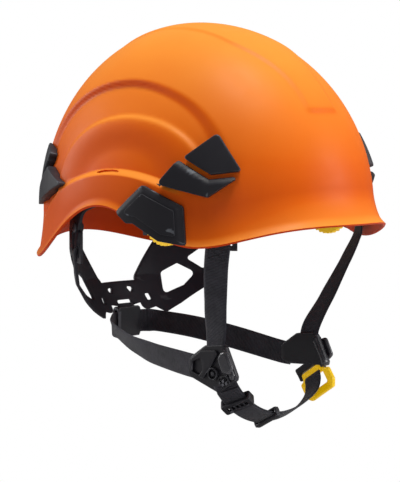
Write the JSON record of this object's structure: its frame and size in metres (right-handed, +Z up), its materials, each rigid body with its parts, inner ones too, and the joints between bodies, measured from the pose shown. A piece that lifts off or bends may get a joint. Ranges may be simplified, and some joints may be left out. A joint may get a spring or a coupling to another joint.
{
  "type": "arborist helmet",
  "caption": "Hard-shell climbing and rigging helmet with textile cradle, wheel-adjusted headband, folding nape frame, lamp clips and chin strap.",
  "frame": {"origin": "centre of the head seat, at the level of the headband", "axes": "+Z up to the crown, -Y to the forehead, -X to the wearer's right"},
  "size_m": [0.2178, 0.2725, 0.2868],
  "materials": {
    "shell_plastic": "satin moulded ABS, fine orange-peel texture",
    "clip_plastic": "fine spark-eroded texture",
    "cover_plastic": "fine spark-eroded texture, bevelled rim",
    "crown_webbing": "woven polyester webbing",
    "side_webbing": "woven polyester webbing, ribbed",
    "wheel_plastic": "smooth moulded acetal",
    "buckle_plastic": "smooth moulded nylon",
    "comfort_foam": "brushed knit over foam",
    "band_plastic": "flexible polypropylene, soft sheen",
    "hardware_plastic": "moulded nylon, soft sheen",
    "anchor_plastic": "moulded nylon"
  },
  "bodies": {
    "helmet": {"shell": "shell_plastic", "clip_base_fr": "clip_plastic", "clip_base_fl": "clip_plastic", "clip_base_rr": "clip_plastic", "clip_base_rl": "clip_plastic", "clip_hook_fr": "clip_plastic", "clip_hook_fl": "clip_plastic", "clip_hook_rr": "clip_plastic", "clip_hook_rl": "clip_plastic", "cover_r": "cover_plastic", "cover_l": "cover_plastic", "anchor_fr": "anchor_plastic", "anchor_fl": "anchor_plastic", "anchor_sr": "anchor_plastic", "anchor_sl": "anchor_plastic", "anchor_rr": "anchor_plastic", "anchor_rl": "anchor_plastic", "crown_strap_a": "crown_webbing", "crown_strap_b": "crown_webbing", "crown_strap_c": "crown_webbing", "yoke_r": "band_plastic", "yoke_l": "band_plastic", "strap_anchor_r": "anchor_plastic", "strap_anchor_l": "anchor_plastic", "front_strap_r": "side_webbing", "front_strap_l": "side_webbing", "rear_strap_r": "side_webbing", "rear_strap_l": "side_webbing", "divider_r": "hardware_plastic", "divider_l": "hardware_plastic", "clip_seat": "hardware_plastic", "chin_strap": "side_webbing"},
    "size_band": {"headband": "band_plastic", "rack_r": "band_plastic", "rack_l": "band_plastic", "brow_pad": "comfort_foam"},
    "wheel_right": {"wheel_r": "wheel_plastic"},
    "wheel_left": {"wheel_l": "wheel_plastic"},
    "nape": {"nape_frame": "band_plastic", "eye_r": "band_plastic", "eye_l": "band_plastic", "strut_r": "band_plastic", "strut_l": "band_plastic", "rivet_r": "band_plastic", "rivet_l": "band_plastic", "strap_guide": "band_plastic"},
    "lock_right": {"lock_r": "hardware_plastic"},
    "lock_left": {"lock_l": "hardware_plastic"},
    "buckle": {"buckle_clip": "buckle_plastic"},
    "strap_adjuster": {"adjuster": "hardware_plastic"},
    "strap_keeper": {"keeper": "hardware_plastic"}
  },
  "joints": [
    {"name": "size_slide", "type": "slide", "parent": "helmet", "child": "size_band", "axis": [0, 1, 0], "range_m": [0, 0.01]},
    {"name": "wheel_right_spin", "type": "hinge", "parent": "helmet", "child": "wheel_right", "pos_m": [-0.0866, -0.05, -0.003], "axis": [1, 0, 0], "range_deg": [0, 76.4]},
    {"name": "wheel_left_spin", "type": "hinge", "parent": "helmet", "child": "wheel_left", "pos_m": [0.0866, -0.05, -0.003], "axis": [1, 0, 0], "range_deg": [0, 76.4]},
    {"name": "nape_fold", "type": "hinge", "parent": "helmet", "child": "nape", "pos_m": [0, -0.032, -0.008], "axis": [1, 0, 0], "range_deg": [0, 32], "deforming": ["rear_strap_r", "rear_strap_l"]},
    {"name": "lock_right_flip", "type": "hinge", "parent": "helmet", "child": "lock_right", "pos_m": [-0.0546, -0.0771, -0.1028], "axis": [0, 0.4472, 0.8944], "range_deg": [0, 60]},
    {"name": "lock_left_flip", "type": "hinge", "parent": "helmet", "child": "lock_left", "pos_m": [0.0546, -0.0771, -0.1028], "axis": [0, -0.4472, -0.8944], "range_deg": [0, 60]},
    {"name": "buckle_tilt", "type": "hinge", "parent": "helmet", "child": "buckle", "pos_m": [0.0495, -0.0664, -0.1202], "axis": [0, -0.8348, 0.5505], "range_deg": [0, 12]},
    {"name": "adjuster_glide", "type": "hinge", "parent": "helmet", "child": "strap_adjuster", "pos_m": [0.004, -0.072, -0.08], "axis": [0, 1, 0], "range_deg": [-12, 2]},
    {"name": "keeper_glide", "type": "hinge", "parent": "helmet", "child": "strap_keeper", "pos_m": [0.004, -0.072, -0.08], "axis": [0, 1, 0], "range_deg": [-12, 4]}
  ],
  "couplings": [
    {"joint": "wheel_right_spin", "follows": "size_slide", "rad_per_m": 133.33},
    {"joint": "wheel_left_spin", "follows": "size_slide", "rad_per_m": 133.33}
  ]
}
